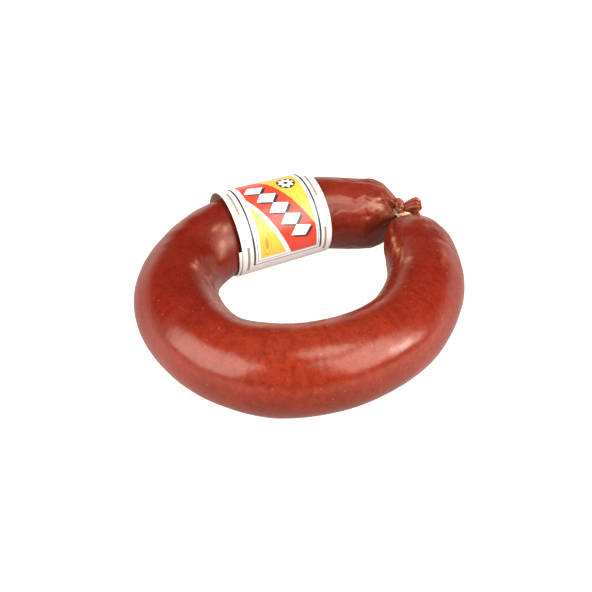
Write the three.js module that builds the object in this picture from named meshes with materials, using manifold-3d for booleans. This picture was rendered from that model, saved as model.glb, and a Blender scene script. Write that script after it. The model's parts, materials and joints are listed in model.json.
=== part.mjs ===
// A horseshoe-shaped cured sausage. The two ends of its casing are gathered side by side,
// bound with cotton twine and cut short, and a paper band is wrapped round one leg.
// Millimetres, +Z up. The origin is the centre of the footprint, on the surface it lies on.
import * as THREE from "three";
import { mergeVertices } from "three/addons/utils/BufferGeometryUtils.js";
import Module from "manifold-3d";

const UP = new THREE.Vector3(0, 0, 1);

// Sausage: a straight filled casing, turned as a lathe and then bent along the horseshoe.
const sidesAround = 30;
const ringSpacing = 3.6; // between the body's cross-sections
const domeSpacing = 1.4; // between the cross-sections of the domed ends
const tipRadius = 2; // where each domed end is gathered
const backDome = { length: 19, sharpness: 0.6 }; // from the tip to the full girth
const frontDome = { length: 31, sharpness: 0.65 };
// How the radius swells and slackens, as [distance from the back leg's tip, radius].
const girth = [
  [0, 18.2],
  [45, 19.2],
  [95, 19.4],
  [125, 19.3],
  [165, 20.4],
  [200, 19.8],
  [230, 21.0],
  [315, 19.4],
  [375, 17.2],
];
// The horseshoe's centreline, from the back leg's tip round to the front leg's tip.
const horseshoe = [
  [54.4, 61.6, 20.4],
  [45.0, 61.6, 18.9],
  [27.5, 60.8, 18.8],
  [5.5, 58.3, 20.6],
  [-17.5, 47.7, 21.1],
  [-41.2, 35.4, 20.9],
  [-57.2, 14.6, 18.9],
  [-59.7, -12.8, 19.7],
  [-49.0, -36.6, 19.6],
  [-31.4, -52.0, 19.3],
  [-5.6, -58.6, 20.3],
  [22.5, -51.2, 20.1],
  [46.0, -32.5, 19.5],
  [58.9, -5.7, 18.9],
  [61.2, 19.6, 17.8],
  [56.7, 45.0, 18.1],
  [53.6, 56.0, 19.2],
];
// The plane where the two soft ends press against each other.
const meeting = {
  point: new THREE.Vector3(53.6, 58.2, 0),
  towardsBack: new THREE.Vector3(-0.62, 0.785, 0).normalize(),
  halfGap: 0.2,
  reach: 0.2, // share of the casing's length, at either end, that it can touch
};

// Gathered ends: both tips turn up through the tie, and their tails flop over to one side.
const tie = {
  middle: new THREE.Vector3(53.6, 58.2, 21.8),
  heading: -10, // degrees from +X that its upright axis leans towards
  rise: 80, // degrees above level
};
const gather = {
  radius: 2.4, // under the twine
  below: 6, // from the tie down into the domed ends
  above: 2.2, // from the tie up to where the tails turn
  widening: 1.35, // it is wider along the back leg than across it
};
const tails = { heading: -5, rise: 16, length: 9, fan: 3.7, cutEnd: 2.9 };

// Twine: turns wound round the gathered ends, closed with a small knot.
const twineRadius = 0.65;
const twineTurns = 2;
const twinePitch = 1.4;
const twineGap = 0.35;
const twineSides = 8;
const knotSize = [1.3, 1.0, 1.1]; // half sizes along, out from and up the tie
const knot = { angle: 190, height: 2.2, outward: 0.5, cutEnd: 2.4 }; // angle as for onTwine

// Paper band: one straight-sided strip, rolled round the leg until its ends overlap.
const band = {
  from: new THREE.Vector3(-38.7, 37.9, 22.1), // the middle of its left end
  heading: 25, // degrees from +X
  width: 50,
  insideRadius: 21.7, // at its left end
  taper: 0.6, // how much less the radius is at its right end
  paper: 0.25,
  turns: 1.19,
  risePerTurn: 0.4, // the outer layer clears the inner one
  skewPerTurn: 1.8, // the strip was wrapped slightly askew
  startAngle: 10, // degrees above level, on the side that faces the horseshoe's opening
  steps: 84,
};

const wasm = await Module();
wasm.setup();

function vector([x, y, z]) {
  return new THREE.Vector3(x, y, z);
}

function flatPoint([x, y]) {
  return new THREE.Vector2(x, y);
}

// A unit vector from its heading in plan and its rise above level, both in degrees.
function direction(heading, rise) {
  const level = Math.cos(THREE.MathUtils.degToRad(rise));
  return new THREE.Vector3(
    level * Math.cos(THREE.MathUtils.degToRad(heading)),
    level * Math.sin(THREE.MathUtils.degToRad(heading)),
    Math.sin(THREE.MathUtils.degToRad(rise)),
  );
}

// The tie's own directions: along it, towards its far side and towards its left side.
const along = direction(tie.heading, tie.rise);
const far = new THREE.Vector3().crossVectors(UP, along).normalize();
const left = new THREE.Vector3().crossVectors(along, far);

// Stands a shape that is built round +Y on the tie, widened from left to right.
function standOnTie(geometry) {
  const frame = new THREE.Matrix4().makeBasis(
    left.clone().multiplyScalar(gather.widening),
    along,
    far,
  );
  return geometry.applyMatrix4(frame.setPosition(tie.middle));
}

// Radius of the stuffed casing at a distance from the back leg's tip.
function stuffedRadius(distance) {
  const next = girth.findIndex(([station]) => station >= distance);
  if (next === 0) return girth[0][1];
  if (next < 0) return girth[girth.length - 1][1];
  const [from, r0] = girth[next - 1];
  const [to, r1] = girth[next];
  return r0 + (r1 - r0) * THREE.MathUtils.smoothstep(distance, from, to);
}

// Share of the full girth that a domed end has reached at a distance from its tip.
function domeShare(distance, { length, sharpness }) {
  const share = THREE.MathUtils.clamp(distance / length, 0, 1);
  return Math.sin((Math.PI / 2) * share) ** sharpness;
}

// Radius of the casing anywhere between its two tips.
function casingRadius(along, length) {
  const dome = domeShare(along, backDome) * domeShare(length - along, frontDome);
  return Math.max(tipRadius, stuffedRadius(along) * dome);
}

// The soft casing flattens where its two ends meet and where it lies on the surface.
function settle(point, share) {
  const { point: between, towardsBack, halfGap, reach } = meeting;
  const past = point.clone().sub(between).dot(towardsBack);
  if (share < reach && past < halfGap) point.addScaledVector(towardsBack, halfGap - past);
  if (share > 1 - reach && past > -halfGap) point.addScaledVector(towardsBack, -halfGap - past);
  return point.setZ(Math.max(point.z, 0));
}

// Bends the casing, built round +Y from y = 0, along a path without letting it roll.
function bendAlong(geometry, path) {
  const length = path.getLength();
  const position = geometry.attributes.position;
  for (let i = 0; i < position.count; i += 1) {
    const share = THREE.MathUtils.clamp(position.getY(i) / length, 0, 1);
    const ahead = path.getTangentAt(share);
    const side = new THREE.Vector3().crossVectors(ahead, UP).normalize();
    const above = new THREE.Vector3().crossVectors(side, ahead);
    const placed = path
      .getPointAt(share)
      .addScaledVector(side, position.getX(i))
      .addScaledVector(above, position.getZ(i));
    position.setXYZ(i, ...settle(placed, share));
  }
  return geometry;
}

function stuffedCasing() {
  const path = new THREE.CatmullRomCurve3(horseshoe.map(vector), false, "catmullrom", 0.5);
  path.arcLengthDivisions = 2000;
  const length = path.getLength();
  const outline = [new THREE.Vector2(0, 0)];
  let along = 0;
  while (along < length) {
    outline.push(new THREE.Vector2(casingRadius(along, length), along));
    const inBody = along > backDome.length && length - along > frontDome.length;
    along += inBody ? ringSpacing : domeSpacing;
  }
  outline.push(new THREE.Vector2(tipRadius, length), new THREE.Vector2(0, length));
  return bendAlong(new THREE.LatheGeometry(outline, sidesAround), path);
}

// The two casing ends drawn together, as thick as the twine leaves them.
function gatheredEnds() {
  const { radius, below, above } = gather;
  const outline = [[0, -below], [radius, -below], [radius, above], [0, above + radius]];
  return standOnTie(new THREE.LatheGeometry(outline.map(flatPoint), 20));
}

// The tails past the tie, fanned out and cut short.
function cutTails() {
  const { length, fan, cutEnd } = tails;
  const outline = [[0, -1], [gather.radius, -1], [fan, length - 2], [cutEnd, length], [0, length]];
  const ahead = direction(tails.heading, tails.rise);
  const turn = new THREE.Quaternion().setFromUnitVectors(new THREE.Vector3(0, 1, 0), ahead);
  const start = tie.middle.clone().addScaledVector(along, gather.above);
  return new THREE.LatheGeometry(outline.map(flatPoint), 20)
    .applyQuaternion(turn)
    .translate(...start);
}

// The room that the twine is pulled into: a ring a little larger than its turns.
function twineRoom() {
  const inside = gather.radius;
  const outside = inside + 2 * twineGap + 2 * twineRadius;
  const half = (twineTurns * twinePitch) / 2 + twineRadius + twineGap;
  const outline = [
    [inside, -half],
    [outside, -half],
    [outside, half],
    [inside, half],
    [inside, -half],
  ];
  return standOnTie(new THREE.LatheGeometry(outline.map(flatPoint), 28));
}

function circleOutline(radius, sides) {
  const outline = new THREE.Shape();
  outline.absarc(0, 0, radius, 0, 2 * Math.PI, false);
  return new THREE.Shape(outline.getPoints(sides).slice(0, -1));
}

// A round rod with flat ends along a curve.
function rodAlong(curve, radius, sides, steps) {
  return new THREE.ExtrudeGeometry(circleOutline(radius, sides), {
    steps,
    bevelEnabled: false,
    extrudePath: curve,
    curveSegments: sides,
  });
}

function toSolid(geometry) {
  const bare = geometry.clone();
  bare.deleteAttribute("normal");
  bare.deleteAttribute("uv");
  const merged = mergeVertices(bare, 1e-4);
  return new wasm.Manifold(
    new wasm.Mesh({
      numProp: 3,
      vertProperties: merged.attributes.position.array,
      triVerts: new Uint32Array(merged.index.array),
    }),
  );
}

function toGeometry(solid) {
  const mesh = solid.getMesh();
  return new THREE.BufferGeometry()
    .setAttribute("position", new THREE.BufferAttribute(mesh.vertProperties, 3))
    .setIndex(new THREE.BufferAttribute(mesh.triVerts, 1));
}

function sausageGeometry() {
  const casing = [gatheredEnds(), cutTails()]
    .map(toSolid)
    .reduce((joined, piece) => joined.add(piece), toSolid(stuffedCasing()));
  return toGeometry(casing.subtract(toSolid(twineRoom())));
}

// A point on the twine's centreline, round the tie from its far side over its left side.
function onTwine(height, degrees, outward = 0) {
  const angle = THREE.MathUtils.degToRad(degrees);
  const reach = gather.radius + twineGap + twineRadius + outward;
  return tie.middle
    .clone()
    .addScaledVector(along, height)
    .addScaledVector(far, reach * Math.cos(angle))
    .addScaledVector(left, gather.widening * reach * Math.sin(angle));
}

// A coil of twine round the gathered ends.
class TwineCoil extends THREE.Curve {
  getPoint(t, target = new THREE.Vector3()) {
    return target.copy(onTwine(twinePitch * twineTurns * (t - 0.5), 360 * twineTurns * t));
  }
}

// The coil, its knot on the side that faces the opening, and two cut ends.
function twineGeometry() {
  const coil = rodAlong(new TwineCoil(), twineRadius, twineSides, 24 * twineTurns);
  const centre = onTwine(knot.height, knot.angle, knot.outward);
  const ball = new THREE.SphereGeometry(1, 14, 10).scale(...knotSize).translate(...centre);
  const ends = [-1, 1].map((way) => {
    const tip = direction(tie.heading - 80 + 25 * way, 50);
    const end = centre.clone().addScaledVector(tip, knotSize[0] + knot.cutEnd);
    return rodAlong(new THREE.LineCurve3(centre, end), twineRadius * 0.9, twineSides, 2);
  });
  const pieces = [ball, ...ends].map(toSolid);
  return toGeometry(pieces.reduce((joined, piece) => joined.add(piece), toSolid(coil)));
}

// A flat strip of paper, rolled from its inner end to its outer end round +X.
function bandGeometry() {
  const strip = new THREE.BoxGeometry(1, band.paper, band.width, band.steps, 1, 1);
  const position = strip.attributes.position;
  for (let i = 0; i < position.count; i += 1) {
    const turn = (position.getX(i) + 0.5) * band.turns;
    const angle = THREE.MathUtils.degToRad(band.startAngle) - 2 * Math.PI * turn;
    const along = band.width / 2 - position.getZ(i);
    const narrower = (band.taper * along) / band.width;
    const radius =
      band.insideRadius + band.risePerTurn * turn + band.paper / 2 + position.getY(i) - narrower;
    position.setXYZ(
      i,
      along - band.skewPerTurn * (1 - Math.min(turn, 1)),
      -radius * Math.cos(angle),
      radius * Math.sin(angle) - narrower,
    );
  }
  strip.rotateZ(THREE.MathUtils.degToRad(band.heading));
  return strip.translate(...band.from);
}

function finish(color, roughness) {
  return new THREE.MeshStandardMaterial({ color, roughness, metalness: 0 });
}

function node(name, geometry, material) {
  const mesh = new THREE.Mesh(geometry, material);
  mesh.name = name;
  return mesh;
}

const curedSausage = new THREE.Group();
curedSausage.add(
  node("sausage", sausageGeometry(), finish(0x9c3322, 0.35)),
  node("tie_twine", twineGeometry(), finish(0xe6d3ae, 0.85)),
  node("paper_band", bandGeometry(), finish(0xf4f0e8, 0.4)),
);

// The centre of the footprint is the origin.
const footprint = new THREE.Box3().setFromObject(curedSausage).getCenter(new THREE.Vector3());
curedSausage.position.set(-footprint.x, -footprint.y, 0);

export default curedSausage;
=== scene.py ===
import json
import math

import bmesh
import bpy
import numpy as np
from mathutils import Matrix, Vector, noise

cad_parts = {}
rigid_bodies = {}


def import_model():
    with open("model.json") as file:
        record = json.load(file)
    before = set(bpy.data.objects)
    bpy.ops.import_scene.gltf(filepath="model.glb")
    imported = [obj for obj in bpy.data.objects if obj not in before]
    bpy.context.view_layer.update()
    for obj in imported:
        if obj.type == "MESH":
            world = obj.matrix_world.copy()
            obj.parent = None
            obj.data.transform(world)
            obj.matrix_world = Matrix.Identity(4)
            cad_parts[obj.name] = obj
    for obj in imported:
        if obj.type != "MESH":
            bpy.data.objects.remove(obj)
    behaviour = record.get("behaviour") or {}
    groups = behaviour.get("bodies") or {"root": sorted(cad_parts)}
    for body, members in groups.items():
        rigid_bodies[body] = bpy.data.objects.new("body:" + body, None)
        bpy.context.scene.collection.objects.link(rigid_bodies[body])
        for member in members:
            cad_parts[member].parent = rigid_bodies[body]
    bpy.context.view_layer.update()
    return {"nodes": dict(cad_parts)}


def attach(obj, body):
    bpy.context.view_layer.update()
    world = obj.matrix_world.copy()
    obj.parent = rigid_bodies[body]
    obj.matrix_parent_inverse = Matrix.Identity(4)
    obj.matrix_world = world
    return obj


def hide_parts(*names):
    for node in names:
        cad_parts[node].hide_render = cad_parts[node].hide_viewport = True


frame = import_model()
mm = 0.001
centring = Vector((0.185, -0.133, 0))  # the frame's origin, from where the horseshoe was drawn, in mm
print("frame loaded:", ", ".join(frame["nodes"]))


# Helpers that every piece uses.


def activate(piece):
    bpy.ops.object.select_all(action="DESELECT")
    piece.select_set(True)
    bpy.context.view_layer.objects.active = piece


def applyPlace(piece):
    activate(piece)
    bpy.ops.object.transform_apply(location=True, rotation=True, scale=True)


def applyModifier(piece, kind, **settings):
    activate(piece)
    modifier = piece.modifiers.new(kind.title(), kind)
    for name, value in settings.items():
        setattr(modifier, name, value)
    bpy.ops.object.modifier_apply(modifier=modifier.name)


def readPoints(piece):
    points = np.zeros(len(piece.data.vertices) * 3)
    piece.data.vertices.foreach_get("co", points)
    return points.reshape(-1, 3) / mm


def writePoints(piece, points):
    piece.data.vertices.foreach_set("co", (points * mm).ravel())
    piece.data.update()


def paint(piece, name, amount):
    # an amount from 0 to 1 for every vertex, which a material can read
    layer = piece.data.attributes.new(name, "FLOAT", "POINT")
    layer.data.foreach_set("value", np.clip(amount, 0, 1))


def smoothstep(low, high, value):
    share = np.clip((value - low) / (high - low), 0, 1)
    return share * share * (3 - 2 * share)


def noiseAt(points, size, seed):
    # soft noise from -1 to 1 with lumps of about the given size in mm
    offset = Vector((seed * 17.3, seed * -9.1, seed * 5.7))
    return np.array([noise.noise(Vector(point) / size + offset) for point in points])


def sliceAlong(piece, passes):
    # cuts the long edges of a tube that lies along X into rings
    activate(piece)
    bpy.ops.object.mode_set(mode="EDIT")
    bpy.ops.mesh.select_mode(type="EDGE")
    for cuts in passes:
        bpy.ops.mesh.select_all(action="DESELECT")
        mesh = bmesh.from_edit_mesh(piece.data)
        for edge in mesh.edges:
            start, end = (vertex.co for vertex in edge.verts)
            edge.select = abs(start.x - end.x) > 1e-7
        bmesh.update_edit_mesh(piece.data)
        bpy.ops.mesh.subdivide(number_cuts=cuts)
    bpy.ops.object.mode_set(mode="OBJECT")


def layRoute(name, points):
    # a smooth route through points in mm, on which a straight piece is bent
    bpy.ops.object.select_all(action="DESELECT")
    bpy.ops.curve.primitive_bezier_curve_add()
    route = bpy.context.object
    route.name = name
    route.data.twist_mode = "Z_UP"
    spline = route.data.splines[0]
    spline.bezier_points.add(len(points) - 2)
    spots = [Vector(point) * mm for point in points]
    before = [2 * spots[0] - spots[1]] + spots[:-1]
    after = spots[1:] + [2 * spots[-1] - spots[-2]]
    for knot, spot, last, following in zip(spline.bezier_points, spots, before, after):
        knot.handle_left_type = "FREE"
        knot.handle_right_type = "FREE"
        knot.co = spot
        knot.handle_left = spot - (following - last) / 6
        knot.handle_right = spot + (following - last) / 6
    spline.resolution_u = 48
    return route


def bendOn(piece, route):
    applyModifier(piece, "CURVE", object=route, deform_axis="POS_X")
    bpy.data.objects.remove(route)


def addTube(name, length, vertices, rings):
    # a closed straight tube of 1 mm radius along X, from the origin
    bpy.ops.object.select_all(action="DESELECT")
    bpy.ops.mesh.primitive_cylinder_add(
        vertices=vertices, radius=mm, depth=length, end_fill_type="TRIFAN",
        location=(length / 2, 0, 0), rotation=(0, math.pi / 2, 0))
    piece = bpy.context.object
    piece.name = name
    piece.data.name = name
    applyPlace(piece)
    sliceAlong(piece, rings)
    return piece


def smoothShade(piece):
    activate(piece)
    bpy.ops.object.shade_smooth()


def newMaterial(name):
    material = bpy.data.materials.new(name)
    material.use_nodes = True
    tree = material.node_tree
    return material, tree, tree.nodes["Principled BSDF"]


def plug(tree, socket, value):
    if isinstance(value, bpy.types.NodeSocket):
        tree.links.new(value, socket)
    else:
        socket.default_value = value


def calc(tree, operation, *values, clamp=False):
    # the result of one sum, worked out where the material is seen
    node = tree.nodes.new("ShaderNodeMath")
    node.operation = operation
    node.use_clamp = clamp
    for socket, value in zip(node.inputs, values):
        plug(tree, socket, value)
    return node.outputs[0]


def stepUp(tree, value, low, high):
    # 0 below low, 1 above high, and a straight ramp between them
    node = tree.nodes.new("ShaderNodeMapRange")
    plug(tree, node.inputs["Value"], value)
    plug(tree, node.inputs["From Min"], low)
    plug(tree, node.inputs["From Max"], high)
    return node.outputs[0]


def mixColour(tree, amount, under, over):
    node = tree.nodes.new("ShaderNodeMix")
    node.data_type = "RGBA"
    plug(tree, node.inputs["Factor"], amount)
    for socket, colour in ((node.inputs[6], under), (node.inputs[7], over)):
        plug(tree, socket, colour if isinstance(colour, bpy.types.NodeSocket) else (*colour, 1))
    return node.outputs[2]


def ramp(tree, value, *stops):
    node = tree.nodes.new("ShaderNodeValToRGB")
    plug(tree, node.inputs[0], value)
    band = node.color_ramp
    while len(band.elements) < len(stops):
        band.elements.new(0.5)
    for element, (place, colour) in zip(band.elements, stops):
        element.position = place
        element.color = (*colour, 1)
    return node.outputs[0]


def objectPlace(tree):
    return tree.nodes.new("ShaderNodeTexCoord").outputs["Object"]


def noiseNode(tree, place, size, detail=3, roughness=0.55, distortion=0):
    # noise whose lumps are about the given size in mm
    node = tree.nodes.new("ShaderNodeTexNoise")
    plug(tree, node.inputs["Vector"], place)
    node.inputs["Scale"].default_value = 1 / (size * mm)
    node.inputs["Detail"].default_value = detail
    node.inputs["Roughness"].default_value = roughness
    node.inputs["Distortion"].default_value = distortion
    return node.outputs["Fac"]


def painted(tree, name):
    node = tree.nodes.new("ShaderNodeAttribute")
    node.attribute_name = name
    return node.outputs["Fac"]


def addBump(tree, shader, height, depth, chain=None):
    # depth in mm of real relief
    node = tree.nodes.new("ShaderNodeBump")
    node.inputs["Distance"].default_value = depth * mm
    node.inputs["Strength"].default_value = 1
    plug(tree, node.inputs["Height"], height)
    if chain:
        tree.links.new(chain, node.inputs["Normal"])
    tree.links.new(node.outputs["Normal"], shader.inputs["Normal"])
    return node.outputs["Normal"]


# The camera is the first thing made.

view = {
    "aim": (-2.6, -8.2, 20.0),  # mm
    "distance": 458.8,
    "elevation": 41,  # degrees, looking along +Y
    "lens": 58.0, "sensor": 36,
    "nearest": 10,  # nothing closer than this is drawn
}


def placeCamera():
    tilt = math.radians(view["elevation"])
    away = Vector((0, -math.cos(tilt), math.sin(tilt)))
    place = (Vector(view["aim"]) + away * view["distance"]) * mm
    bpy.ops.object.camera_add(location=place, rotation=(math.pi / 2 - tilt, 0, 0))
    camera = bpy.context.object
    camera.name = "studioCamera"
    camera.data.lens = view["lens"]
    camera.data.sensor_width = view["sensor"]
    camera.data.clip_start = view["nearest"] * mm
    bpy.context.scene.camera = camera


placeCamera()

# The stuffed casing with its two gathered ends.

sausage = {
    # the centreline from the back leg's tip round to the front leg's tip, in mm
    "route": [
        (54.4, 61.6, 20.4), (45.0, 61.6, 18.9), (27.5, 60.8, 18.8), (5.5, 58.3, 20.6),
        (-17.5, 47.7, 21.1), (-41.2, 35.4, 20.9), (-57.2, 14.6, 18.9), (-59.7, -12.8, 19.7),
        (-49.0, -36.6, 19.6), (-31.4, -52.0, 19.3), (-5.6, -58.6, 20.3), (22.5, -51.2, 20.1),
        (46.0, -32.5, 19.5), (58.9, -5.7, 18.9), (61.2, 19.6, 17.8), (56.7, 45.0, 18.1),
        (53.6, 56.0, 19.2),
    ],
    # distance from the back leg's tip, and radius there
    "girth": [(0, 18.2), (45, 19.2), (95, 19.4), (125, 19.3), (165, 20.4), (200, 19.8),
              (230, 21.0), (315, 19.4), (375, 17.2)],
    "tip": 2.0,  # radius where each end is gathered
    "backDome": (19, 0.6),  # length, and how sharply it closes
    "frontDome": (31, 0.65),
    "frontFullness": 0.20,  # the front dome is fuller towards the opening
    "around": 128,
    "slices": (19, 19),  # 400 rings
    "lumps": 0.32,  # how far the filling bulges, mm
    "grain": 0.07,  # and its finer unevenness
    # pleats that run out of both tips, as (how far they reach, how many lie round it)
    "pleats": {"depth": 0.058, "back": (12, 15), "front": (15, 11)},
    "fan": {"depth": 0.13, "back": (15, 37), "front": (13, 31)},  # fine wrinkles between the pleats
    # soft folds: distance along, half width, degrees, reach in degrees, depth
    "folds": [
        (103, 2.6, -34, 28, 0.26), (114, 2.2, -50, 24, 0.24), (124, 2.6, -60, 22, 0.26),
        (358, 2.8, -14, 24, 0.24), (343, 2.4, -38, 28, 0.30), (331, 2.8, -55, 20, 0.22),
    ],
    "foldSkew": 0.12,  # mm along for each degree round
    # cross ripples where the casing is slack: distance along, reach, degrees
    "ripples": [(112, 16, -30), (352, 15, -22), (30, 14, -10)],
    "rippleDepth": 0.17, "rippleSpread": 36,
    "ruckleDepth": 0.30,  # on the inside of the bend
    # long creases: strength, start, end, degrees, half width in degrees
    "creases": [
        (1, 3, 46, 52, 1.9), (0.8, 2, 26, 33, 1.8), (0.7, 338, 372, 57, 2.4), (0.6, 144, 190, 56, 3.6),
    ],
    "creaseDepth": 0.3,
    # warmer, lighter patches: strength, distance along, reach, degrees, reach in degrees; the one on the back
    # leg's top is a painted highlight
    "warmPatches": [(1, 232, 34, -25, 60), (0.55, 275, 40, -30, 60), (0.6, 32, 30, 5, 55)],
    "dryPatch": (106, 14, 55, 45),  # duller casing beside the band
}

# how the soft ends give way where they press on each other and under the tie, in mm
softness = {
    "meeting": (53.6, 58.2), "towardsBack": (-0.62, 0.785),  # a spot between the ends, and a direction
    "endShare": 0.2,  # how much of the length, at either end, can touch the other end
    "give": 1.5, "leastGap": 0.05,
    "tie": (53.6, 58.2, 21.8), "tieRadius": 3.9, "tieWidening": 1.25, "tieDepth": 1.7,
    # how steeply each dome rises from the tie
    "frontSlope": 0.74, "backSlope": 2.4, "slopeGrowth": 0.05, "roundness": 0.4,
    "tieReach": (15, 10),  # the dip is gone at the first of these, and full at the second
    "backReach": (0.8, -1.6),
}

# pale marks where fat and casing show: distance along, degrees from the top
# towards the opening, half length, half width in degrees, strength
paleMarks = [
    (106, 35, 3.2, 4.5, 0.42), (110, 27, 3, 4, 0.30), (113, 50, 3.0, 4.5, 0.38), (119, 62, 4, 6, 0.25),
    (151, 29, 2.2, 4.2, 0.62), (147, 32, 2.6, 3.2, 0.40), (192, 50, 4, 6, 0.62), (200, 58, 6, 5, 0.40),
    (186, 44, 4, 3, 0.35), (237, 62, 6, 5, 0.35), (246, 68, 5, 4, 0.30), (356, 54, 3.0, 4, 0.62),
    (349, 54, 6, 2.6, 0.5), (341, 49, 5, 3.4, 0.52), (336, 41, 6, 2.4, 0.36), (326, 30, 2.6, 5, 0.42),
    (331, 41, 6, 2.4, 0.40), (284, 24, 3, 4, 0.22), (291, 40, 6, 3, 0.22), (17, 40, 4, 6, 0.32),
    (12, 48, 3, 8, 0.36), (9, 62, 3, 8, 0.32), (332, -24, 6, 4, 0.16),
]


def girthAt(distance):
    stations, radii = zip(*sausage["girth"])
    radius = np.full_like(distance, radii[0])
    for start, end, before, after in zip(stations, stations[1:], radii, radii[1:]):
        radius += (after - before) * smoothstep(start, end, distance)
    return radius


def domeShare(distance, length, sharpness):
    return np.sin(math.pi / 2 * np.clip(distance / length, 0, 1)) ** sharpness


def wrapped(degrees):
    return (degrees + 180) % 360 - 180


def patch(along, around, place, reach, degrees, spread):
    # 1 at one spot on the casing, fading out softly around it
    return np.exp(-((along - place) / reach) ** 2 - (wrapped(around - degrees) / spread) ** 2)


def crease(along, around, start, end, degrees, width):
    # 1 on a line that runs along the casing, fading out to its sides and ends
    wander = degrees + 5 * np.sin(along / 5.3) + 3 * np.sin(along / 2.1)
    line = np.exp(-(wrapped(around - wander) / width) ** 2)
    return line * smoothstep(start, start + 5, along) * (1 - smoothstep(end - 6, end, along))


def pleatsAt(straight, angle, nearTip, reach, count):
    waver = 0.9 * noiseAt(straight, 7, count)
    fold = np.cos(count * angle + 3 * waver) + 0.6 * np.cos((count * 2 - 3) * angle + 5 * waver)
    return fold * np.exp(-nearTip / reach) * smoothstep(0, 3, nearTip)


def fanAt(straight, angle, nearTip, reach, count):
    fan = np.sin(count * angle + 5 * noiseAt(straight, 9, count)) * np.exp(-nearTip / reach)
    return fan * smoothstep(2, 7, nearTip) * (0.6 + 0.6 * noiseAt(straight, 6, count + 1))


def tightnessAt(along):
    # how tightly the inside of the bend is drawn together
    tightness = 0.4 * smoothstep(120, 160, along) * (1 - smoothstep(215, 245, along))
    tightness += 0.7 * smoothstep(270, 300, along) * (1 - smoothstep(345, 365, along))
    return tightness + 1.3 * np.exp(-((along - 240) / 11) ** 2)


def onTube(along, radius, angle):
    return np.stack([along, radius * np.sin(angle), radius * np.cos(angle)], axis=1)


def shapeSausage(piece, length):
    points = readPoints(piece)
    share = points[:, 0] / length
    share = share - 0.5 * np.sin(2 * math.pi * share) / (2 * math.pi)  # rings crowd at both ends
    along = share * length
    towardsFront = length - along
    angle = np.arctan2(points[:, 1], points[:, 2])  # from the top towards the opening
    around = np.degrees(angle)
    hub = np.clip(np.hypot(points[:, 1], points[:, 2]), 0, 1)  # 0 at the middle of each flat end
    backDome = domeShare(along, *sausage["backDome"])
    frontLength, frontSharpness = sausage["frontDome"]
    frontSharpness = frontSharpness - sausage["frontFullness"] * np.clip(np.sin(angle), 0, 1)
    frontDome = domeShare(towardsFront, frontLength, frontSharpness)
    radius = np.maximum(sausage["tip"], girthAt(along) * backDome * frontDome)
    straight = onTube(along, radius, angle)

    lumps = 0.7 * noiseAt(straight, 24, 1) + 0.3 * noiseAt(straight, 10, 2)
    bulge = sausage["lumps"] * lumps + sausage["grain"] * noiseAt(straight, 4.5, 3)
    pleats = np.zeros_like(along)
    for end, nearTip in (("back", along), ("front", towardsFront)):
        pleats += pleatsAt(straight, angle, nearTip, *sausage["pleats"][end])
        bulge += sausage["fan"]["depth"] * fanAt(straight, angle, nearTip, *sausage["fan"][end])
    bulge += sausage["pleats"]["depth"] * radius * pleats

    # the inside of the bend is shorter, so the casing ruckles there
    drawn = np.exp(-(wrapped(around - 88) / 40) ** 2) * tightnessAt(along)
    ruckles = np.sin(along / 1.05 + 2.5 * noiseAt(straight, 9, 5)) * (0.6 + 0.5 * noiseAt(straight, 14, 6))
    bulge += sausage["ruckleDepth"] * drawn * ruckles
    for place, halfWidth, degrees, reach, depth in sausage["folds"]:
        skewed = along - sausage["foldSkew"] * wrapped(around - degrees)
        bulge -= depth * patch(skewed, around, place, halfWidth, degrees, reach)
    ripple = np.sin(along / 1.9 + around / 14 + 2.2 * noiseAt(straight, 12, 9))
    ripple = sausage["rippleDepth"] * ripple * (0.7 + 0.6 * noiseAt(straight, 9, 10))
    for place, reach, degrees in sausage["ripples"]:
        bulge += ripple * patch(along, around, place, reach, degrees, sausage["rippleSpread"])
    creases = sum(strength * crease(along, around, *line) for strength, *line in sausage["creases"])
    bulge += sausage["creaseDepth"] * creases

    radius = (radius + bulge) * hub
    writePoints(piece, onTube(along, radius, angle))
    paintSausage(piece, straight, around, towardsFront, creases, pleats, drawn)
    paintSmudges(piece, along, radius, angle)


def paintSausage(piece, straight, around, towardsFront, creases, pleats, drawn):
    # where the casing is painted pale, warm, dark or loose: pale fat marks with painted highlights, and
    # painted shade
    along = straight[:, 0]
    pale = np.zeros_like(along)
    breakUp = 0.6 * noiseAt(straight, 3.0, 7) + 0.6 * noiseAt(straight, 1.1, 8)
    for place, degrees, halfLength, halfWidth, strength in paleMarks:
        mark = patch(along, around, place, halfLength, degrees, halfWidth)
        pale = np.maximum(pale, strength * (1.5 + 1.8 * breakUp) * mark)
    # lighter along the creases: partly the seams' own pale colour, partly a painted highlight along their
    # ridges
    pale = np.maximum(pale, 0.36 * creases * (0.8 + 0.8 * breakUp))
    # pale near both tips, strongest on the pleat crests: a painted highlight on the gathered pleats
    tips = np.exp(-along / 7) + np.exp(-towardsFront / 7)
    pale = np.maximum(pale, 0.55 * tips * (0.5 + 0.5 * np.tanh(3 * pleats)))
    paint(piece, "pale", np.maximum(pale, 0.30 * drawn * (0.5 + 0.8 * breakUp)))
    patches = sausage["warmPatches"]
    paint(piece, "warm", sum(strength * patch(along, around, *spot) for strength, *spot in patches))
    # darker on the back leg's inner side below its crease, near the tie: painted shade; and a little darker
    # over the first 150 to 200 mm from the back tip
    dark = 0.7 * smoothstep(70, 20, along) * smoothstep(45, 95, around) * (1 - creases)
    paint(piece, "dark", dark + 0.25 * smoothstep(200, 150, along))
    slack = 0.3 * smoothstep(100, 60, along) + 0.3 * smoothstep(320, 355, along)
    paint(piece, "loose", slack + patch(along, around, *sausage["dryPatch"]))


def paintSmudges(piece, along, radius, angle):
    # soft darker smudges that run round the sausage
    belt = onTube(along / 2.4, radius / 11, angle)
    smudge = noiseAt(belt, 1, 11) * (0.5 + 0.5 * smoothstep(150, 200, along))
    paint(piece, "smudge", 0.9 * smoothstep(0.05, 0.6, smudge))


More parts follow.
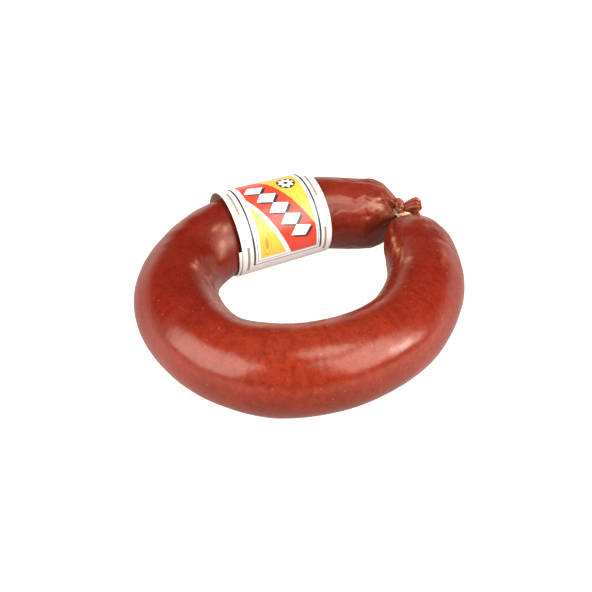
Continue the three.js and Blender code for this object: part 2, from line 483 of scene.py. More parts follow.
def pressEnds(points, share):
    # the two ends flatten where they meet
    x, y = softness["meeting"]
    towardsX, towardsY = softness["towardsBack"]
    past = (points[:, 0] - centring.x - x) * towardsX + (points[:, 1] - centring.y - y) * towardsY
    give = softness["give"]
    for isEnd, way in ((share < softness["endShare"], 1), (share > 1 - softness["endShare"], -1)):
        room = way * past
        pressed = np.where(room < give, give * np.exp(np.minimum(room - give, 0) / give), room)
        pressed = np.maximum(pressed, softness["leastGap"])
        shift = np.where(isEnd, (pressed - room) * way, 0)
        points[:, 0] += shift * towardsX
        points[:, 1] += shift * towardsY


def settle(piece, share):
    points = readPoints(piece)
    pressEnds(points, share)
    points[:, 2] = np.maximum(points[:, 2], 0)
    # the front dome dips under the twine, and the back one only beside it
    middle = np.array(softness["tie"]) + np.array(centring)
    offset = points[:, :2] - middle[:2]
    beside = np.hypot(offset[:, 0] / softness["tieWidening"], offset[:, 1])
    outside = np.maximum(beside - softness["tieRadius"], 0)
    isFront = share > 0.5
    slope = np.where(isFront, softness["frontSlope"], softness["backSlope"])
    roof = middle[2] - softness["tieDepth"] + slope * outside + softness["slopeGrowth"] * outside ** 2
    over = np.logaddexp(0, (points[:, 2] - roof) / softness["roundness"]) * softness["roundness"]
    nearFront = smoothstep(*softness["backReach"], offset[:, 1])
    reach = smoothstep(*softness["tieReach"], outside) * np.where(isFront, 1, nearFront)
    points[:, 2] -= over * reach
    writePoints(piece, points)


def makeSausage():
    route = layRoute("horseshoeRoute", [Vector(point) + centring for point in sausage["route"]])
    length = route.data.splines[0].calc_length(resolution=64)
    piece = addTube("sausageBody", length, sausage["around"], sausage["slices"])
    shapeSausage(piece, length / mm)
    share = readPoints(piece)[:, 0] * mm / length
    bendOn(piece, route)
    settle(piece, share)
    smoothShade(piece)
    print("sausage body:", len(piece.data.polygons), "faces, length", round(length / mm, 1), "mm")
    return piece


# The gathered casing ends that stand up through the twine and flop over.

tails = {
    # each has its centreline in mm, its radius by share of that line, and how many folds lie round it
    "longTail": {
        "route": [(53.2, 58.2, 15.5), (53.8, 58.2, 19.5), (54.6, 58.1, 22.6), (56.2, 57.9, 25.0),
                  (59.4, 57.6, 26.4), (63.6, 57.2, 26.8)],
        "girth": [(0, 3.4), (0.2, 2.6), (0.38, 2.1), (0.5, 2.5), (0.66, 3.3), (0.86, 3.9), (1, 3.2)],
        "folds": 5,
    },
    "shortTail": {
        "route": [(53.2, 57.8, 15.5), (53.4, 57.8, 19.5), (53.4, 57.4, 22.8), (52.6, 56.9, 25.2),
                  (51.0, 56.7, 26.1), (49.6, 56.8, 25.8)],
        "girth": [(0, 3.2), (0.25, 2.4), (0.5, 2.1), (0.68, 2.7), (0.86, 2.9), (1, 2.4)],
        "folds": 3,
    },
    "crownTail": {
        "route": [(50.0, 60.8, 19.0), (50.8, 60.4, 23.0), (52.0, 59.6, 26.0), (54.2, 58.8, 27.2)],
        "girth": [(0, 3.6), (0.45, 3.3), (0.8, 2.7), (1, 2.0)],
        "folds": 4,
    },
    "neckTail": {
        "route": [(61.8, 54.4, 14.0), (61.6, 55.2, 18.2), (60.8, 56.2, 21.2), (59.2, 57.4, 23.6)],
        "girth": [(0, 3.8), (0.5, 2.9), (0.8, 2.0), (1, 1.2)],
        "folds": 3,
    },
}
tailMesh = {"around": 96, "slices": (69,)}
# pleats and flatness as shares of the radius, grain in mm, rounding as a share of the length
tailRelief = {"pleats": 0.08, "endPleats": 0.04, "flatness": 0.22, "grain": 0.22, "rounding": 0.14}


def makeTail(name, route, girth, folds):
    line = layRoute(name + "Route", [Vector(point) + centring for point in route])
    length = line.data.splines[0].calc_length(resolution=64)
    piece = addTube(name, length, tailMesh["around"], tailMesh["slices"])
    points = readPoints(piece)
    share = points[:, 0] * mm / length
    angle = np.arctan2(points[:, 1], points[:, 2])
    hub = np.clip(np.hypot(points[:, 1], points[:, 2]), 0, 1)  # 0 at the middle of each flat end
    radius = np.interp(share, *zip(*girth))
    straight = onTube(points[:, 0], 3, angle)
    waver = noiseAt(straight, 4.5, folds)
    deepness = tailRelief["pleats"] + tailRelief["endPleats"] * smoothstep(0.55, 1, share)
    pleat = np.cos(folds * angle + 2.4 * waver) + 0.5 * np.cos((2 * folds + 1) * angle + 3 * waver)
    flat = 1 + tailRelief["flatness"] * np.cos(2 * angle + 0.6) * smoothstep(0.5, 1, share)
    grain = tailRelief["grain"] * noiseAt(straight, 1.5, folds + 1)
    radius = radius * flat * (1 + deepness * pleat) + grain
    closing = np.sqrt(np.clip((1 - share) / tailRelief["rounding"], 0, 1))  # a soft round end
    radius = np.maximum(radius * (0.45 + 0.55 * closing), 0.3) * hub
    along = points[:, 0] + 0.6 * waver * (share > 0.8)
    writePoints(piece, onTube(along, radius, angle))
    # lighter on the pleat crests, darker in the folds between them and near the base: painted highlight and
    # painted shade; warmer towards the free end
    fold = np.clip(0.5 + 0.4 * pleat, 0, 1)
    paint(piece, "pale", 0.20 * fold)
    paint(piece, "warm", 0.55 * smoothstep(0.4, 1, share))
    paint(piece, "dark", 0.55 * (1 - fold) + 0.25 * (1 - smoothstep(0.4, 0.7, share)))
    paint(piece, "loose", np.full(len(share), 0.5))
    paint(piece, "smudge", np.zeros(len(share)))
    bendOn(piece, line)
    smoothShade(piece)
    return piece


# The casing's surface: cured meat under a glossy skin.

casingLook = {
    "deep": (0.135, 0.0060, 0.0028), "brick": (0.188, 0.0105, 0.0044), "orange": (0.285, 0.030, 0.0092),
    # 'dark' is the colour of the painted shade; 'pale' serves pale fat marks and painted highlights
    "dark": (0.085, 0.0050, 0.0025), "fat": (0.48, 0.16, 0.07), "pale": (0.55, 0.25, 0.13),
    "spice": (0.035, 0.013, 0.006),
    # colour, strength, then mm between dots, their radius, the share kept, a number that shifts them, blur
    "dots": [
        ("fat", 0.24, 2.6, 0.7, 0.22, 1, 0.09), ("fat", 0.28, 1.2, 0.36, 0.13, 5, 0.09),
        ("spice", 0.55, 4.4, 1.10, 0.42, 2, 0.12), ("spice", 0.50, 1.7, 0.50, 0.32, 3, 0.12),
    ],
    "leastRoughness": 0.12, "streakRoughness": 0.14, "fineRoughness": 0.05, "looseRoughness": 0.20,
    "ior": 1.48, "shine": 0.62, "shineTint": (1.0, 0.80, 0.68),
    "meatRelief": 0.09, "fineRelief": 0.03,  # mm
}


def specks(tree, place, size, radius, share, seed, blur):
    # scattered dots: only some cells of the pattern hold one
    node = tree.nodes.new("ShaderNodeTexVoronoi")
    shifted = tree.nodes.new("ShaderNodeVectorMath")
    shifted.operation = "ADD"
    plug(tree, shifted.inputs[0], place)
    shifted.inputs[1].default_value = (seed * 0.013, seed * 0.007, seed * 0.003)
    plug(tree, node.inputs["Vector"], shifted.outputs[0])
    node.inputs["Scale"].default_value = 1 / (size * mm)
    chosen = tree.nodes.new("ShaderNodeSeparateColor")
    tree.links.new(node.outputs["Color"], chosen.inputs[0])
    wide = calc(tree, "MULTIPLY", chosen.outputs[1], radius / size)
    dot = stepUp(tree, calc(tree, "SUBTRACT", wide, node.outputs["Distance"]), 0, blur)
    keep = calc(tree, "LESS_THAN", chosen.outputs[0], share)
    return calc(tree, "MULTIPLY", dot, keep)


def makeCasingMaterial():
    look = casingLook
    material, tree, shader = newMaterial("glossyCasing")
    place = objectPlace(tree)
    clouds = noiseNode(tree, place, 17, 3, 0.5)
    meat = noiseNode(tree, place, 2.6, 4, 0.62, 0.6)
    fine = noiseNode(tree, place, 0.9, 3, 0.6)
    warmth = calc(tree, "MULTIPLY", painted(tree, "warm"), 0.64)
    warmth = calc(tree, "MULTIPLY_ADD", stepUp(tree, meat, 0.36, 0.72), 0.28, warmth, clamp=True)
    layers = [
        (warmth, "orange"),
        (calc(tree, "MULTIPLY", stepUp(tree, meat, 0.56, 0.26), 0.50), "deep"),
        (calc(tree, "MULTIPLY", painted(tree, "smudge"), 0.55), "deep"),
        (calc(tree, "MULTIPLY", stepUp(tree, fine, 0.52, 0.75), 0.30), "orange"),
        (calc(tree, "MULTIPLY", stepUp(tree, fine, 0.46, 0.25), 0.35), "deep"),
        # painted shade from the 'dark' attribute
        (calc(tree, "MULTIPLY", painted(tree, "dark"), 0.7), "dark"),
    ]
    for name, strength, *dots in look["dots"]:
        layers.append((calc(tree, "MULTIPLY", specks(tree, place, *dots), strength), name))
    # pale fat marks, with painted highlights on the creases and pleat crests
    skin = calc(tree, "MULTIPLY_ADD", meat, 0.9, 0.45)
    layers.append((calc(tree, "MULTIPLY", painted(tree, "pale"), skin, clamp=True), "pale"))
    colour = ramp(tree, clouds, (0.36, look["deep"]), (0.56, look["brick"]), (0.74, look["brick"]))
    for amount, name in layers:
        colour = mixColour(tree, amount, colour, look[name])
    tree.links.new(colour, shader.inputs["Base Color"])
    streaks = noiseNode(tree, place, 6, 3, 0.6)
    gloss = calc(tree, "MULTIPLY_ADD", streaks, look["streakRoughness"], look["leastRoughness"])
    gloss = calc(tree, "MULTIPLY_ADD", fine, look["fineRoughness"], gloss)
    gloss = calc(tree, "MULTIPLY_ADD", painted(tree, "loose"), look["looseRoughness"], gloss)
    tree.links.new(gloss, shader.inputs["Roughness"])
    shader.inputs["IOR"].default_value = look["ior"]
    shader.inputs["Specular IOR Level"].default_value = look["shine"]
    shader.inputs["Specular Tint"].default_value = (*look["shineTint"], 1)
    relief = addBump(tree, shader, meat, look["meatRelief"])
    addBump(tree, shader, fine, look["fineRelief"], relief)
    return material


# The twine: three plies laid together, wound round both gathered ends.

twine = {
    "middle": (53.6, 58.2, 21.8), "heading": -10, "rise": 80,  # its upright axis, degrees
    "across": 3.5, "along": 4.7,  # half sizes of a turn, mm
    "turns": 2, "pitch": 1.5, "steps": 26, "startDegrees": 190,
    "ply": 0.43, "laid": 0.43,  # a ply's radius, and how far it runs from the middle
    "layLength": 3.8,  # one full twist of the plies
    # the two cut ends, from the first and the last point of the turns
    "firstEnd": [(-2.6, -2.4, 1.9), (-1.5, -1.5, 1.7), (-0.5, -0.7, 0.9)],
    "lastEnd": [(0.7, -0.5, 0.1), (1.9, -1.3, 0.5), (3.1, -1.7, 0.7)],
    "knot": (1.7, 207, 0.7),  # height, degrees, how far out
    "knotBends": [
        (2.0, -0.5, -0.9), (1.0, 0.5, -0.2), (0.1, 0.7, 0.9), (-1.0, 0.1, 0.5), (-0.6, -0.7, -0.6),
        (0.5, -0.9, -0.7), (1.1, -0.4, 0.3), (0.4, 0.5, 1.1), (-0.9, 0.5, 0.9), (-1.9, -0.3, 0.1),
    ],
    "shadow": (0.52, 0.36, 0.18), "cotton": (0.78, 0.62, 0.38), "lit": (0.90, 0.80, 0.60),
    "stain": (0.50, 0.20, 0.08),
}


def tieAxes():
    heading = math.radians(twine["heading"])
    rise = math.radians(twine["rise"])
    up = Vector((math.cos(rise) * math.cos(heading), math.cos(rise) * math.sin(heading), math.sin(rise)))
    far = Vector((0, 0, 1)).cross(up).normalized()
    return up, far, up.cross(far)


def onTwine(height, degrees, outward=0):
    up, far, left = tieAxes()
    angle = math.radians(degrees)
    ring = far * (twine["across"] + outward) * math.cos(angle)
    ring += left * (twine["along"] + outward) * math.sin(angle)
    return Vector(twine["middle"]) + centring + up * height + ring


def twineRoute():
    # a cut end, the turns, and the other cut end
    steps = twine["steps"]
    coil = []
    for step in range(steps * twine["turns"] + 1):
        height = twine["pitch"] * (step / steps - twine["turns"] / 2)
        coil.append(onTwine(height, twine["startDegrees"] + 360 * step / steps))
    firstEnd = [coil[0] + Vector(offset) for offset in twine["firstEnd"]]
    lastEnd = [coil[-1] + Vector(offset) for offset in twine["lastEnd"]]
    return firstEnd + coil + lastEnd


def knotRoute():
    centre = onTwine(*twine["knot"])
    up, far, left = tieAxes()
    return [centre + left * a - far * b + up * c for a, b, c in twine["knotBends"]]


def layPly(name, route, phase):
    # one ply winds round the twine's route
    bpy.ops.object.select_all(action="DESELECT")
    line = layRoute(name + "Guide", route)
    length = line.data.splines[0].calc_length(resolution=64) / mm
    bpy.data.objects.remove(line)
    curve = [Vector(point) for point in smoothRoute(route, max(8, int(length / 0.28)))]
    turned = []
    last = len(curve) - 1
    for step, point in enumerate(curve):
        ahead = (curve[min(step + 1, last)] - curve[max(step - 1, 0)]).normalized()
        side = ahead.cross(Vector((0.31, 0.17, 0.93))).normalized()
        over = ahead.cross(side)
        angle = phase + 2 * math.pi * step / last * length / twine["layLength"]
        turned.append(point + (side * math.cos(angle) + over * math.sin(angle)) * twine["laid"])
    bpy.ops.curve.primitive_nurbs_path_add()
    ply = bpy.context.object
    ply.name = name
    ply.data.splines.clear()
    spline = ply.data.splines.new("POLY")
    spline.points.add(len(turned) - 1)
    for knot, point in zip(spline.points, turned):
        knot.co = (*(point * mm), 1)
    ply.data.bevel_depth = twine["ply"] * mm
    ply.data.bevel_resolution = 1
    ply.data.use_fill_caps = True
    ply.location = (0, 0, 0)
    activate(ply)
    bpy.ops.object.convert(target="MESH")
    return bpy.context.object


def smoothRoute(points, count):
    # even steps on a smooth line through the points
    points = np.array([tuple(point) for point in points])
    padded = np.vstack([2 * points[0] - points[1], points, 2 * points[-1] - points[-2]])
    line = []
    for before, start, end, after in zip(padded, padded[1:], padded[2:], padded[3:]):
        part = np.linspace(0, 1, 12, endpoint=False)[:, None]
        leave = (end - before) / 2
        arrive = (after - start) / 2
        line.append((2 * part**3 - 3 * part**2 + 1) * start + (part**3 - 2 * part**2 + part) * leave
                    + (3 * part**2 - 2 * part**3) * end + (part**3 - part**2) * arrive)
    line = np.vstack(line + [points[-1:]])
    travelled = np.concatenate([[0], np.cumsum(np.linalg.norm(np.diff(line, axis=0), axis=1))])
    wanted = np.linspace(0, travelled[-1], count)
    return np.stack([np.interp(wanted, travelled, line[:, axis]) for axis in range(3)], axis=1)


def makeTwine():
    plies = []
    for name, route in (("coil", twineRoute()), ("knot", knotRoute())):
        for third in range(3):
            plies.append(layPly(f"{name}Ply{third}", route, 2 * math.pi * third / 3))
    activate(plies[0])
    for ply in plies:
        ply.select_set(True)
    bpy.ops.object.join()
    piece = bpy.context.object
    piece.name = "cottonTwine"
    piece.data.name = "cottonTwine"
    applyPlace(piece)
    smoothShade(piece)
    print("twine:", len(piece.data.polygons), "faces")
    return piece


def makeTwineMaterial():
    material, tree, shader = newMaterial("creamCotton")
    place = objectPlace(tree)
    fibres = noiseNode(tree, place, 0.35, 4, 0.7, 0.4)
    stain = noiseNode(tree, place, 3.0, 2, 0.5)
    colour = ramp(tree, fibres, (0.25, twine["shadow"]), (0.5, twine["cotton"]), (0.75, twine["lit"]))
    stained = calc(tree, "MULTIPLY", stepUp(tree, stain, 0.52, 0.7), 0.55)
    colour = mixColour(tree, stained, colour, twine["stain"])
    tree.links.new(colour, shader.inputs["Base Color"])
    tree.links.new(calc(tree, "MULTIPLY_ADD", fibres, 0.2, 0.7), shader.inputs["Roughness"])
    addBump(tree, shader, fibres, 0.12)
    return material


# The printed paper band: one strip rolled round the back left leg.

band = {
    "from": (-38.7, 37.9, 22.1), "heading": 25,  # the middle of its left end, mm and degrees
    "width": 50, "radius": 21.78, "taper": 0.6,
    "middleRadius": 22.2,  # for the length of the strip
    "turns": 1.19, "risePerTurn": 0.42, "skewPerTurn": 1.8, "startAngle": 10,
    "paper": 0.18,  # its thickness
    "grid": (360, 100),  # faces round it and across it
    "waves": 0.22, "edgeWaves": 0.28, "edgeReach": 5, "waveRadius": 22,
    "lift": 0.35,  # how far the loose end stands off
    "clearance": 0.12,  # above the surface
}


def makeBand():
    bpy.ops.object.select_all(action="DESELECT")
    bpy.ops.mesh.primitive_grid_add(x_subdivisions=band["grid"][0], y_subdivisions=band["grid"][1], size=2)
    piece = bpy.context.object
    piece.name = "paperBand"
    piece.data.name = "paperBand"
    flat = readPoints(piece) * mm
    turn = (flat[:, 0] + 1) / 2 * band["turns"]
    across = (flat[:, 1] + 1) / 2
    along = across * band["width"]
    angle = math.radians(band["startAngle"]) - 2 * math.pi * turn
    narrower = band["taper"] * across
    hoop = band["waveRadius"]
    sheet = np.stack([along, hoop * np.cos(angle), hoop * np.sin(angle)], axis=1)
    edge = np.exp(-along / band["edgeReach"]) + np.exp(-(band["width"] - along) / band["edgeReach"])
    waves = band["waves"] * noiseAt(sheet, 30, 41) + edge * band["edgeWaves"] * noiseAt(sheet, 13, 42)
    waves = waves * (1 - 0.5 * smoothstep(0.9, 1.02, turn))  # calmer where the paper is double
    lift = band["lift"] * smoothstep(1.1, band["turns"], turn) ** 2 * (0.4 + 0.6 * (1 - across))
    radius = band["radius"] + band["risePerTurn"] * turn - narrower + waves * 0.5 + lift
    along = along - band["skewPerTurn"] * (1 - np.minimum(turn, 1))
    flank = -radius * np.cos(angle)
    height = radius * np.sin(angle) - narrower
    heading = math.radians(band["heading"])
    left = np.array(band["from"]) + np.array(centring)
    points = np.stack([
        left[0] + along * math.cos(heading) - flank * math.sin(heading),
        left[1] + along * math.sin(heading) + flank * math.cos(heading),
        np.maximum(left[2] + height, band["clearance"])], axis=1)
    writePoints(piece, points)
    applyModifier(piece, "SOLIDIFY", thickness=band["paper"] * mm, offset=0)
    smoothShade(piece)
    print("paper band:", len(piece.data.polygons), "faces")
    return piece


# the print. Places are in mm: across the band from its left edge, and back from the strip's outer end
bandPrint = {
    "outerFrame": (6.6, 43.6, 15.5, 79.0), "outerRule": (0.55, 0.26),  # half widths of its lines
    "innerFrame": (8.3, 42.3, 17.6, 77.0), "innerRule": (0.20, 0.16),
    "panel": (9.9, 41.3, 19.4, 75.2), "stripePanel": (9.9, 41.3, 17.8, 75.2),
    "sweep": {"from": 8.4, "height": 54.6, "slope": -1.33, "bend": -0.034},  # the stripe's lower edge
    "straightEdge": {"height": 31 + 1.906 * 41.3, "slope": -1.906},  # the stripe's upper edge
    "gap": 2.6,  # white between the stripe and the corner field
    "dashColumns": (3.4, 46.4), "dashHalfWidth": 0.65, "dashStart": 11.6, "dashPeriod": 33.35,
    "oval": (13.6, 27.6, 2.3, 6.6), "rosette": (34.7, 58.9),
    "rays": 22, "rayReach": (6.2, 15.5), "petals": 8, "disc": 4.9, "eye": 1.2,
    "lozenges": {"from": (14.5, 62.0), "to": (35.0, 26.5), "count": 5, "halfSize": (3.9, 5.8), "lean": -0.28},
    "shadow": (1.1, -1.3),
    "red": (0.74, 0.062, 0.032), "yellow": (0.86, 0.60, 0.075), "amber": (0.80, 0.28, 0.03),
    "sun": (0.88, 0.48, 0.045), "white": (0.92, 0.91, 0.89), "whiter": (0.95, 0.94, 0.92),
    "ink": (0.035, 0.035, 0.04), "grey": (0.30, 0.30, 0.31), "darkRed": (0.22, 0.02, 0.01),
    "gold": (0.20, 0.15, 0.06), "bareBoard": (0.85, 0.68, 0.48),
}


def between(tree, value, low, high, soft=0.12):
    above = stepUp(tree, value, low - soft, low + soft)
    below = stepUp(tree, value, high + soft, high - soft)
    return calc(tree, "MULTIPLY", above, below)


def boxMask(tree, across, wrap, box):
    inAcross = between(tree, across, box[0], box[1])
    return calc(tree, "MULTIPLY", inAcross, between(tree, wrap, box[2], box[3]))


def frameMask(tree, across, wrap, box, rule):
    # a ruled frame whose upright and level lines have their own half widths
    upright, level = rule
    grown = (box[0] - upright, box[1] + upright, box[2] - level, box[3] + level)
    shrunk = (box[0] + upright, box[1] - upright, box[2] + level, box[3] - level)
    outer = boxMask(tree, across, wrap, grown)
    return calc(tree, "SUBTRACT", outer, boxMask(tree, across, wrap, shrunk), clamp=True)


def sweepLine(tree, across):
    # the curved lower edge of the diagonal stripe
    sweep = bandPrint["sweep"]
    past = calc(tree, "SUBTRACT", across, sweep["from"])
    bend = calc(tree, "MULTIPLY", calc(tree, "POWER", past, 2), sweep["bend"])
    return calc(tree, "ADD", calc(tree, "MULTIPLY_ADD", past, sweep["slope"], sweep["height"]), bend)


def radiusFrom(tree, across, wrap, middleAcross, middleWrap, halfAcross=1, halfWrap=1):
    # the distance from a spot, in half sizes, and its two parts
    aside = calc(tree, "DIVIDE", calc(tree, "SUBTRACT", across, middleAcross), halfAcross)
    upward = calc(tree, "DIVIDE", calc(tree, "SUBTRACT", wrap, middleWrap), halfWrap)
    squares = calc(tree, "ADD", calc(tree, "POWER", aside, 2), calc(tree, "POWER", upward, 2))
    return calc(tree, "SQRT", squares), aside, upward


def lozengeMask(tree, across, wrap, shift=(0, 0)):
    # a row of plain lozenges down the middle of the diagonal stripe
    row = bandPrint["lozenges"]
    start = Vector(row["from"]) + Vector(shift)
    path = Vector(row["to"]) - Vector(row["from"])
    length = path.length
    pathAcross, pathWrap = path / length
    aside = calc(tree, "SUBTRACT", across, start.x)
    upward = calc(tree, "SUBTRACT", wrap, start.y)
    down = calc(tree, "ADD", calc(tree, "MULTIPLY", aside, pathAcross),
                calc(tree, "MULTIPLY", upward, pathWrap))
    over = calc(tree, "SUBTRACT", calc(tree, "MULTIPLY", aside, -pathWrap),
                calc(tree, "MULTIPLY", upward, -pathAcross))
    period = length / row["count"]
    place = calc(tree, "MODULO", calc(tree, "ADD", down, 10 * period), period)
    leaning = calc(tree, "MULTIPLY_ADD", over, row["lean"], calc(tree, "SUBTRACT", place, period / 2))
    halfLength, halfWidth = row["halfSize"]
    reach = calc(tree, "ADD", calc(tree, "DIVIDE", calc(tree, "ABSOLUTE", leaning), halfLength),
                 calc(tree, "DIVIDE", calc(tree, "ABSOLUTE", over), halfWidth))
    return calc(tree, "MULTIPLY", stepUp(tree, reach, 1.03, 0.97), between(tree, down, 0, length))


def printPanel(tree, across, wrap, distance, spin):
    # what is printed inside the frame, as pairs of where and which colour
    ink = bandPrint
    edge = ink["straightEdge"]
    aboveSweep = calc(tree, "SUBTRACT", wrap, sweepLine(tree, across))
    upper = calc(tree, "MULTIPLY_ADD", across, edge["slope"], edge["height"])
    belowEdge = calc(tree, "SUBTRACT", upper, wrap)
    panel = boxMask(tree, across, wrap, ink["panel"])
    stripePanel = boxMask(tree, across, wrap, ink["stripePanel"])
    # the field above the stripe, with rays from the rosette
    ray = stepUp(tree, calc(tree, "COSINE", calc(tree, "MULTIPLY", spin, ink["rays"])), 0.80, 0.97)
    ray = calc(tree, "MULTIPLY", ray, between(tree, distance, *ink["rayReach"], 0.4))
    sun = mixColour(tree, stepUp(tree, distance, 18, 3), ink["yellow"], ink["sun"])
    sun = mixColour(tree, calc(tree, "MULTIPLY", ray, 0.85), sun, ink["amber"])
    field = calc(tree, "MULTIPLY", panel, stepUp(tree, belowEdge, 0.1, -0.1))
    stripe = calc(tree, "MULTIPLY", stepUp(tree, aboveSweep, -0.1, 0.1), stepUp(tree, belowEdge, -0.1, 0.1))
    rim = calc(tree, "MAXIMUM", between(tree, aboveSweep, -0.25, 0.25), between(tree, belowEdge, -0.25, 0.25))
    # the corner field under the white gap
    corner = calc(tree, "SUBTRACT", sweepLine(tree, calc(tree, "ADD", across, ink["gap"])), wrap)
    cornerRim = calc(tree, "MULTIPLY", between(tree, corner, -0.3, 0.3), panel)
    oval = radiusFrom(tree, across, wrap, *ink["oval"])[0]
    shadow = lozengeMask(tree, across, wrap, ink["shadow"])
    petals = calc(tree, "COSINE", calc(tree, "MULTIPLY", spin, ink["petals"]))
    petals = calc(tree, "MULTIPLY_ADD", petals, 0.8, 3.6)
    return [
        (field, sun),
        (calc(tree, "MULTIPLY", stripe, stripePanel), ink["red"]),
        (calc(tree, "MULTIPLY", rim, calc(tree, "MULTIPLY", stripePanel, 0.7)), ink["darkRed"]),
        (calc(tree, "MULTIPLY", panel, stepUp(tree, corner, -0.1, 0.1)), ink["yellow"]),
        (calc(tree, "MULTIPLY", cornerRim, 0.7), ink["amber"]),
        (calc(tree, "MULTIPLY", between(tree, oval, 0.93, 1.0, 0.04), 0.7), ink["gold"]),
        (calc(tree, "MULTIPLY", stepUp(tree, oval, 0.5, 0.46), 0.45), ink["gold"]),
        (calc(tree, "MULTIPLY", shadow, stripePanel), ink["ink"]),
        (calc(tree, "MULTIPLY", lozengeMask(tree, across, wrap), stripePanel), ink["white"]),
        (stepUp(tree, distance, ink["disc"] + 0.1, ink["disc"] - 0.1), ink["ink"]),
        (stepUp(tree, calc(tree, "SUBTRACT", distance, petals), 0.1, -0.1), ink["white"]),
        (stepUp(tree, distance, ink["eye"] + 0.1, ink["eye"] - 0.1), ink["ink"]),
    ]


def makePaperMaterial():
    ink = bandPrint
    material, tree, shader = newMaterial("printedPaper")
    place = tree.nodes.new("ShaderNodeSeparateXYZ")
    tree.links.new(tree.nodes.new("ShaderNodeUVMap").outputs[0], place.inputs[0])
    stripLength = band["turns"] * 2 * math.pi * band["middleRadius"]
    across = calc(tree, "MULTIPLY", place.outputs[1], band["width"])
    wrap = calc(tree, "MULTIPLY", calc(tree, "SUBTRACT", 1, place.outputs[0]), stripLength)
    distance, aside, upward = radiusFrom(tree, across, wrap, *ink["rosette"])
    layers = printPanel(tree, across, wrap, distance, calc(tree, "ARCTAN2", upward, aside))
    layers.append((frameMask(tree, across, wrap, ink["outerFrame"], ink["outerRule"]), ink["ink"]))
    layers.append((frameMask(tree, across, wrap, ink["innerFrame"], ink["innerRule"]), ink["grey"]))
    # gold dashes by both edges
    period = ink["dashPeriod"]
    phase = calc(tree, "MODULO", calc(tree, "ADD", wrap, period * 4 - ink["dashStart"]), period)
    dashes = between(tree, phase, 0.2, period / 2)
    for column in ink["dashColumns"]:
        line = between(tree, across, column - ink["dashHalfWidth"], column + ink["dashHalfWidth"])
        line = calc(tree, "MULTIPLY", line, dashes)
        layers.append((calc(tree, "MULTIPLY", line, 0.85), ink["gold"]))
    # the unprinted side, and the cut edges
    bare = painted(tree, "unprinted")
    layers.append((bare, ink["bareBoard"]))
    colour = mixColour(tree, noiseNode(tree, objectPlace(tree), 9, 2), ink["white"], ink["whiter"])
    for amount, over in layers:
        colour = mixColour(tree, amount, colour, over)
    tree.links.new(colour, shader.inputs["Base Color"])
    fibres = noiseNode(tree, objectPlace(tree), 0.5, 3)
    gloss = calc(tree, "MULTIPLY_ADD", bare, 0.45, calc(tree, "MULTIPLY_ADD", fibres, 0.08, 0.17))
    tree.links.new(gloss, shader.inputs["Roughness"])
    addBump(tree, shader, noiseNode(tree, objectPlace(tree), 5, 2), 0.12)
    return material


def markUnprinted(piece):
    # the side that faces the sausage has no print
    mesh = piece.data
    mesh.update()
    heading = math.radians(band["heading"])
    axis = Vector((math.cos(heading), math.sin(heading), 0))
    start = (Vector(band["from"]) + centring) * mm
    amount = mesh.attributes.new("unprinted", "FLOAT", "CORNER")
    values = []
    for face in mesh.polygons:
        offset = face.center - start
        outward = offset - axis * offset.dot(axis)
        isBack = 1.0 if face.normal.dot(outward.normalized()) < 0.3 else 0.0
        values += [isBack] * face.loop_total
    amount.data.foreach_set("value", values)


# Put the pieces together. The gathered ends belong to the body's mesh.


def dress(piece, material):
    piece.data.materials.clear()
    piece.data.materials.append(material)


sausagePiece = makeSausage()
tailPieces = [makeTail(name, **shape) for name, shape in tails.items()]
activate(sausagePiece)
for tail in tailPieces:
    tail.select_set(True)
bpy.ops.object.join()
print("gathered ends joined to the body")
sausagePiece = bpy.context.object
dress(sausagePiece, makeCasingMaterial())
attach(sausagePiece, "root")
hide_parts("sausage")

twinePiece = makeTwine()
dress(twinePiece, makeTwineMaterial())
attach(twinePiece, "root")
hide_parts("tie_twine")

bandPiece = makeBand()
markUnprinted(bandPiece)
dress(bandPiece, makePaperMaterial())
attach(bandPiece, "root")
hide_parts("paper_band")
print("pieces finished")

# The studio: a pale floor, softboxes, soft fill and a pale horizon behind.

studio = {
    "floor": 4.0,  # m across
    # the darker middle, the lighter sides and the glow brighter behind are painted light that the gloss
    # reflects
    "floorMiddle": (0.27, 0.22, 0.20), "floorSides": (0.88, 0.68, 0.61),
    "sidesFrom": (0.13, 0.24), "behindFrom": (0.10, 0.35),  # m from the sausage's middle
    "floorGlow": 0.34, "floorBehindGlow": 0.85,  # as the gloss reflects it
    "floorLookedAtGlow": 0.90,  # added where the floor is looked at
    "floorGlowTint": (1.0, 0.87, 0.80), "roomTint": (1.0, 0.84, 0.75),
    "horizon": 1.0, "ceiling": 0.05,  # how bright the room is in reflections
    "horizonFade": (0.33, 0.10), "horizonSides": (-0.15, 0.25),
}

# name, degrees to the right of the camera's side, elevation, distance m, width, height, watts, colour
softboxes = [
    ("leftSoftbox", -62, 30, 0.9, 0.76, 0.70, 8.6, (1.0, 0.97, 0.95)),
    ("rightSoftbox", 58, 36, 0.9, 0.68, 0.70, 7.9, (1.0, 0.97, 0.95)),
    ("rightCore", 74, 22, 0.88, 0.18, 0.22, 1.7, (1.0, 0.98, 0.96)),
    ("highRight", 62, 72, 0.92, 0.30, 0.30, 1.9, (1.0, 0.94, 0.90)),
]
# these fill the shadows and leave the gloss dark
fillLamps = [
    ("overhead", 180, 78, 1.3, 1.4, 1.4, 11.5, (1.0, 1.0, 1.0)),
    ("frontFill", -10, 16, 1.2, 0.8, 0.8, 4.5, (1.0, 1.0, 1.0)),
]


def addSoftbox(name, azimuth, elevation, distance, width, height, power, colour):
    aside = math.radians(azimuth)
    rise = math.radians(elevation)
    direction = Vector((math.cos(rise) * math.sin(aside), -math.cos(rise) * math.cos(aside), math.sin(rise)))
    bpy.ops.object.light_add(type="AREA", location=direction * distance)
    lamp = bpy.context.object
    lamp.name = name
    lamp.rotation_euler = direction.to_track_quat("Z", "Y").to_euler()
    lamp.data.shape = "RECTANGLE"
    lamp.data.size = width
    lamp.data.size_y = height
    lamp.data.energy = power
    lamp.data.color = colour
    return lamp


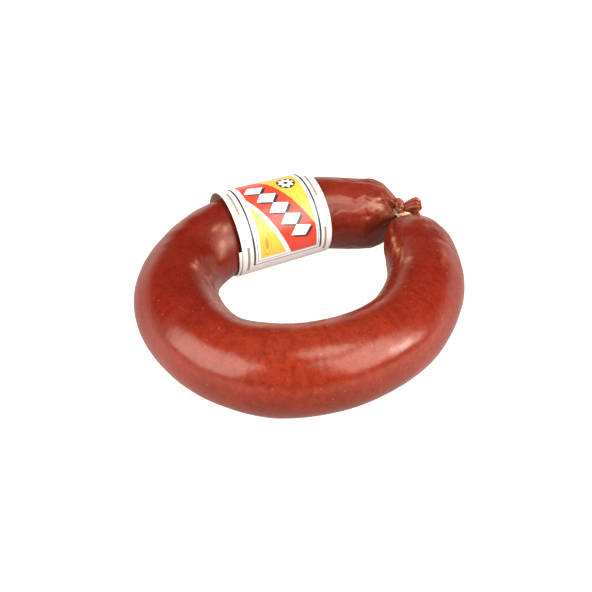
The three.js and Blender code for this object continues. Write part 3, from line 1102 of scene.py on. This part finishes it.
def makeRoom():
    # a dark ceiling, and white low down behind the sausage; plain white where it is looked at
    world = bpy.data.worlds.new("paleStudio")
    world.use_nodes = True
    tree = world.node_tree
    background = tree.nodes["Background"]
    direction = tree.nodes.new("ShaderNodeSeparateXYZ")
    tree.links.new(tree.nodes.new("ShaderNodeTexCoord").outputs["Generated"], direction.inputs[0])
    low = stepUp(tree, direction.outputs[2], *studio["horizonFade"])
    behind = stepUp(tree, direction.outputs[1], *studio["horizonSides"])
    glow = calc(tree, "MULTIPLY", calc(tree, "MULTIPLY", low, behind), studio["horizon"])
    glow = calc(tree, "ADD", glow, studio["ceiling"])
    lookedAt = tree.nodes.new("ShaderNodeLightPath").outputs["Is Camera Ray"]
    tree.links.new(calc(tree, "MAXIMUM", glow, lookedAt), background.inputs["Strength"])
    colour = mixColour(tree, lookedAt, studio["roomTint"], (1.0, 1.0, 1.0))
    tree.links.new(colour, background.inputs["Color"])
    bpy.context.scene.world = world


def makeStudio():
    bpy.ops.object.select_all(action="DESELECT")
    bpy.ops.mesh.primitive_plane_add(size=studio["floor"])
    floor = bpy.context.object
    floor.name = "studioFloor"
    material, tree, shader = newMaterial("paleFloor")
    # the sides of the floor are painted lighter than its middle: a painted pool of the softboxes' light for
    # the gloss to reflect
    where = tree.nodes.new("ShaderNodeSeparateXYZ")
    tree.links.new(objectPlace(tree), where.inputs[0])
    depth = calc(tree, "MULTIPLY", calc(tree, "MAXIMUM", where.outputs[1], -0.05), 2.0)
    aside = calc(tree, "SUBTRACT", calc(tree, "ABSOLUTE", where.outputs[0]), depth)
    aside = stepUp(tree, aside, *studio["sidesFrom"])
    colour = mixColour(tree, aside, studio["floorMiddle"], studio["floorSides"])
    tree.links.new(colour, shader.inputs["Base Color"])
    shader.inputs["Roughness"].default_value = 0.9
    shader.inputs["Specular IOR Level"].default_value = 0.1
    shader.inputs["Emission Color"].default_value = (*studio["floorGlowTint"], 1)
    lookedAt = tree.nodes.new("ShaderNodeLightPath").outputs["Is Camera Ray"]
    behind = stepUp(tree, where.outputs[1], *studio["behindFrom"])
    brighter = studio["floorBehindGlow"] - studio["floorGlow"]
    glow = calc(tree, "MULTIPLY_ADD", behind, brighter, studio["floorGlow"])
    glow = calc(tree, "MULTIPLY_ADD", lookedAt, studio["floorLookedAtGlow"], glow)
    tree.links.new(glow, shader.inputs["Emission Strength"])
    floor.data.materials.append(material)
    for box in softboxes:
        addSoftbox(*box)
    for box in fillLamps:
        lamp = addSoftbox(*box)
        lamp.visible_glossy = False
    makeRoom()
    bpy.context.scene.view_settings.view_transform = "Standard"


makeStudio()
print("studio ready")
